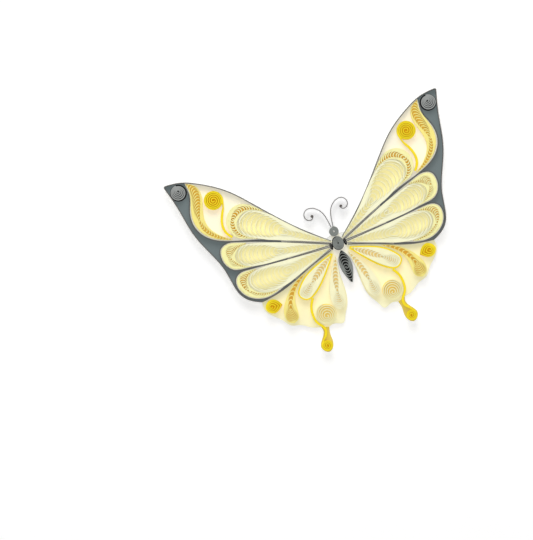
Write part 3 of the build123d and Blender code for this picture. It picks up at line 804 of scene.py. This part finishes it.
# The card, the fields of colour printed on it, and the painted shade and shadow laid on it
def card_outline():
    """The card's whole outline: the right half clockwise from the top of the tongue, then the left."""
    edges = ((LEADING_EDGE, CARD_POINTS), (WING_TIP, CARD_TIP_POINTS), (OUTER_EDGE, CARD_OUTER_POINTS),
             (HIND_EDGE, CARD_POINTS), (TAIL_EDGE, CARD_POINTS), (INNER_EDGE, CARD_POINTS))
    edge = np.concatenate([smooth(wing(places), count)[:-1] for places, count in edges])
    tongue = WING_ROOT - TONGUE_INSET
    low = ABDOMEN_TOP - ABDOMEN_LENGTH + TONGUE_SETBACK
    edge = inside(edge, TRIM)
    edge = edge[edge.real > tongue]
    right = np.concatenate(([complex(tongue, HEAD_Y)], edge, [complex(tongue, low)]))
    return np.concatenate((right, mirrored(right)[::-1]))


def margin_outline():
    """The dark field of the right forewing, outside its cells and its first vein."""
    vein = smooth(wing(UPPER_VEIN), MARGIN_POINTS)
    vein = (vein + 1j * headings(vein) * UNDER_VEIN)[vein.real > MARGIN_START]
    leading = smooth(wing(LEADING_EDGE), MARGIN_LEADING_POINTS)
    leading = inside(leading, TRIM)[leading.real > vein[-1].real]
    outer = inside(smooth(wing(OUTER_EDGE), MARGIN_POINTS), TRIM)
    boundary = smooth(wing(WING_BOUNDARY), PRINT_BOUNDARY_POINTS)
    lower = smooth(wing(LOWER_UPPER_FLANK + LOWER_LOBE + LOWER_LOWER_FLANK), MARGIN_CELL_POINTS)
    middle = smooth(wing(MIDDLE_UPPER_FLANK + MIDDLE_LOBE + MIDDLE_LOWER_FLANK), MARGIN_CELL_POINTS)
    lower = lower[lower.real > MARGIN_START]
    middle = middle[middle.real > MARGIN_START]
    boundary = boundary[boundary.real > MARGIN_START]
    tip = inside(smooth(wing(WING_TIP), TIP_POINTS), TRIM)
    return np.concatenate((vein, leading, tip[1:], outer[1:], boundary[1:], lower[::-1], middle[::-1]))


def hind_outline():
    """The field of the right hindwing, outside its tail."""
    edges = (HIND_EDGE, TAIL_EDGE, INNER_EDGE)
    edge = inside(np.concatenate([smooth(wing(places), CARD_POINTS)[:-1] for places in edges]), TRIM)
    boundary = smooth(wing(WING_BOUNDARY), PRINT_BOUNDARY_POINTS)
    return np.concatenate((edge[edge.real > WING_ROOT], boundary[::-1]))


card = prism("base_card_sheet", card_outline(), PAD_THICKNESS, CARD_TOP, CARD)
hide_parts("base_card")
tail_outline = inside(smooth(wing(TAIL_EDGE), CARD_POINTS), TRIM)
# The slate margin and the lemon hindwing field are printed colour; the olive field on the tail is painted
# shade
card_prints_and_shade = (("margin_print", margin_outline(), MARGIN_LEVEL, SLATE),
               ("hind_print", hind_outline(), HIND_LEVEL, LEMON),
               ("tail_painted_shade", tail_outline, MARGIN_LEVEL, OLIVE))
for side in ("right", "left"):
    for name, outline, level, material in card_prints_and_shade:
        field(side + "_" + name, placed(outline, side), level, material)
# Painted shadow: near-black fields in the channel of the abdomen coil, round the thorax and at the wing
# roots, where deep gaps fall into shade
abdomen_outline = np.concatenate((abdomen_side, mirrored(abdomen_side)[-2:0:-1]))
abdomen_middle = 1j * (ABDOMEN_TOP - ABDOMEN_LENGTH / 2)
abdomen_shade = abdomen_middle + (abdomen_outline - abdomen_middle) * ABDOMEN_SHADE_SHARE
field("abdomen_painted_shadow", abdomen_shade, COIL_LEVEL, INK)
thorax_shade = oval(0, THORAX_WIDTH + THORAX_SHADE, THORAX_LENGTH + THORAX_SHADE)
field("thorax_painted_shadow", thorax_shade, THORAX_LEVEL, CHARCOAL)
for side, root in (("right", WING_ROOT), ("left", -WING_ROOT)):
    field("root_painted_shadow_" + side, oval(root + ROOT_DROP, *ROOT_SHADE), ROOT_LEVEL, CHARCOAL)


def pad(node, centre):
    """A square of foam with soft corners whose cut sides bulge a little."""
    around = PAD_POINTS
    levels = np.linspace(0, 1, PAD_LEVELS)
    angles = np.linspace(0, 2 * pi, around, endpoint=False)
    reach = np.abs(np.cos(angles)) ** PAD_SQUARENESS + np.abs(np.sin(angles)) ** PAD_SQUARENESS
    shape = np.exp(1j * angles) / reach ** (1 / PAD_SQUARENESS)
    corners = []
    for level in levels:
        bulge = 1 - PAD_BULGE * (2 * level - 1) ** 4 + rng.normal(0, PAD_GRAIN, around)
        ring = complex(*centre) + shape * PAD_SIDE / 2 * np.minimum(bulge, 1)
        corners += [(p.real, p.imag, PAD_THICKNESS * level) for p in ring]
    faces = []
    for row in range(len(levels) - 1):
        for step in range(around):
            after = (step + 1) % around
            faces.append((row * around + step, row * around + after,
                          (row + 1) * around + after, (row + 1) * around + step))
    faces.append(tuple(reversed(range(around))))
    faces.append(tuple((len(levels) - 1) * around + step for step in range(around)))
    piece = mesh_object(node + "_foam", corners, faces, [FOAM], [0] * len(faces))
    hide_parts(node)


pad("thorax_pad", (0.0, 0.0))
for name, place in (("forewing_pad", FOREWING_PAD), ("hindwing_pad", HINDWING_PAD)):
    x = place[0] + WING_ROOT
    pad("right_" + name, (x, place[1]))
    pad("left_" + name, (-x, place[1]))

# Stage, light and camera
TURN = radians(20)
PHOTO_WIDTH = 174.6
CAMERA_HEIGHT = 4000.0
FRAME_CENTRE = (-25.0, -0.3)
WORLD_LEVEL = 0.15
OVERHEAD_PLACE = (*FRAME_CENTRE, CAMERA_HEIGHT)
OVERHEAD_SIZE = 500.0
OVERHEAD_LEVEL = 0.59
SOFTBOX_PLACE = (100.0, 420.0, 650.0)
SOFTBOX_SIZE = 400.0
SOFTBOX_LEVEL = 0.27
FLOOR_HALF = 2000.0
FLOOR_DROP = 0.03
FLOOR_LIFT = (0.08, 0.08, 0.08, 1.0)
WHITE = (1.0, 1.0, 1.0, 1.0)

floor_mesh = bpy.data.meshes.new("floor")
floor_corners = [(x * FLOOR_HALF * METRE, y * FLOOR_HALF * METRE, -FLOOR_DROP * METRE)
                 for x, y in ((-1, -1), (1, -1), (1, 1), (-1, 1))]
floor_mesh.from_pydata(floor_corners, [], [(0, 1, 2, 3)])
floor_paper = paper("floor_paper", (254, 254, 254), patch=FLOOR_PATCH, mottle_share=FLOOR_MOTTLE)
floor_tree = floor_paper.node_tree
floor_shader = floor_tree.nodes["Principled BSDF"]
floor_shader.inputs["Emission Color"].default_value = FLOOR_LIFT
light_path = floor_tree.nodes.new("ShaderNodeLightPath")
floor_tree.links.new(light_path.outputs["Is Camera Ray"], floor_shader.inputs["Emission Strength"])
floor_mesh.materials.append(floor_paper)
floor = bpy.data.objects.new("floor", floor_mesh)
bpy.context.scene.collection.objects.link(floor)

world = bpy.data.worlds.new("studio")
world.use_nodes = True
world.node_tree.nodes["Background"].inputs["Color"].default_value = WHITE
world.node_tree.nodes["Background"].inputs["Strength"].default_value = WORLD_LEVEL
bpy.context.scene.world = world


def lamp(name, place, size, level):
    """A square lamp that points at the object and adds this level of light to a flat sheet there."""
    data = bpy.data.lights.new(name, "AREA")
    data.size = size * METRE
    where = Vector(place) * METRE
    data.energy = level * pi**2 * where.length_squared / (where.z / where.length)
    piece = bpy.data.objects.new(name, data)
    piece.location = where
    piece.rotation_euler = (-where).to_track_quat("-Z", "Y").to_euler()
    bpy.context.scene.collection.objects.link(piece)


lamp("overhead", OVERHEAD_PLACE, OVERHEAD_SIZE, OVERHEAD_LEVEL)
lamp("softbox", SOFTBOX_PLACE, SOFTBOX_SIZE, SOFTBOX_LEVEL)

camera_data = bpy.data.cameras.new("camera")
camera_data.sensor_fit = "HORIZONTAL"
camera_data.lens = camera_data.sensor_width * (CAMERA_HEIGHT - CARD_TOP) / PHOTO_WIDTH
camera = bpy.data.objects.new("camera", camera_data)
camera.location = (FRAME_CENTRE[0] * METRE, FRAME_CENTRE[1] * METRE, CAMERA_HEIGHT * METRE)
camera.rotation_euler = (0.0, 0.0, -TURN)
bpy.context.scene.collection.objects.link(camera)
bpy.context.scene.camera = camera
bpy.context.scene.view_settings.view_transform = "Standard"
